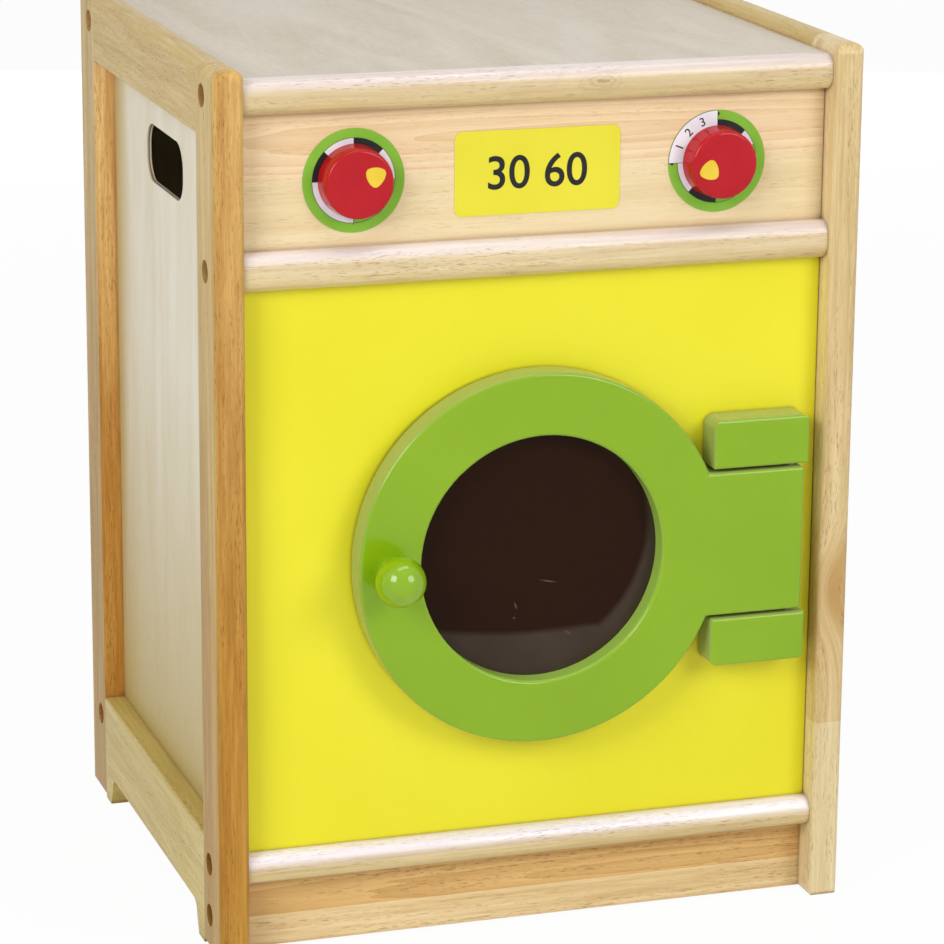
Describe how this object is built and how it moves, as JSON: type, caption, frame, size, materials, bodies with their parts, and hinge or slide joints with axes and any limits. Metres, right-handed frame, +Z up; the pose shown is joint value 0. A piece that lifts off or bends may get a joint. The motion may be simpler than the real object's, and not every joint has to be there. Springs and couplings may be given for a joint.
{
  "type": "toy washing machine",
  "caption": "Wooden toy washing machine with framed sides, handle slots, a round window door on a pinned side hinge with a ball knob, and free-turning dial knobs.",
  "frame": {"origin": "bottom centre of the bounding box, on the floor", "axes": "+Z up, -Y towards the front with the door, +X to the right seen from the front"},
  "size_m": [0.43, 0.4152, 0.581],
  "materials": {
    "post_wood": "clear satin lacquer",
    "pale_post_wood": "clear satin lacquer",
    "rail_wood": "clear satin lacquer",
    "moulding_wood": "clear satin lacquer",
    "control_wood": "clear satin lacquer",
    "kick_wood": "clear satin lacquer",
    "plywood": "thin clear lacquer",
    "yellow_paint": "satin paint on board",
    "green_paint": "gloss paint on solid wood",
    "red_plastic": "gloss",
    "yellow_film": "satin printed film",
    "dial_print": "satin printed film",
    "smoked_acrylic": "polished dark acrylic",
    "beech": "raw",
    "steel": "zinc plated"
  },
  "bodies": {
    "cabinet": {"left_front_post": "post_wood", "right_front_post": "pale_post_wood", "left_rear_post": "post_wood", "right_rear_post": "pale_post_wood", "left_top_rail": "rail_wood", "right_top_rail": "rail_wood", "left_bottom_rail": "rail_wood", "right_bottom_rail": "rail_wood", "left_side_panel": "plywood", "right_side_panel": "plywood", "top_board": "plywood", "top_nosing": "moulding_wood", "control_board": "control_wood", "middle_rail": "moulding_wood", "front_panel": "yellow_paint", "floor_board": "plywood", "lower_nosing": "moulding_wood", "kick_board": "kick_wood", "back_panel": "plywood", "frame_bolts": "steel", "barrel_nuts": "steel", "rail_dowels": "beech", "board_dowels": "beech", "back_screws": "steel", "label_plate": "yellow_film", "left_dial": "dial_print", "right_dial": "dial_print", "dial_washers": "steel", "upper_hinge_block": "green_paint", "lower_hinge_block": "green_paint", "hinge_pins": "steel", "hinge_screws": "steel", "catch_magnet": "steel"},
    "door": {"door_ring": "green_paint", "door_window": "smoked_acrylic", "window_screws": "steel", "door_knob": "green_paint", "door_knob_screw": "steel", "catch_plate": "steel", "catch_screw": "steel"},
    "left_dial_knob": {"left_knob": "red_plastic", "left_pointer": "yellow_film", "left_axle": "steel"},
    "right_dial_knob": {"right_knob": "red_plastic", "right_pointer": "yellow_film", "right_axle": "steel"}
  },
  "joints": [
    {"name": "door_hinge", "type": "hinge", "parent": "cabinet", "child": "door", "pos_m": [0.174, -0.15937, 0.256], "axis": [0, 0, 1], "range_deg": [0, 130]},
    {"name": "left_dial_turn", "type": "hinge", "parent": "cabinet", "child": "left_dial_knob", "pos_m": [-0.121, -0.15637, 0.506], "axis": [0, -1, 0], "continuous": true},
    {"name": "right_dial_turn", "type": "hinge", "parent": "cabinet", "child": "right_dial_knob", "pos_m": [0.121, -0.15637, 0.506], "axis": [0, -1, 0], "continuous": true}
  ]
}
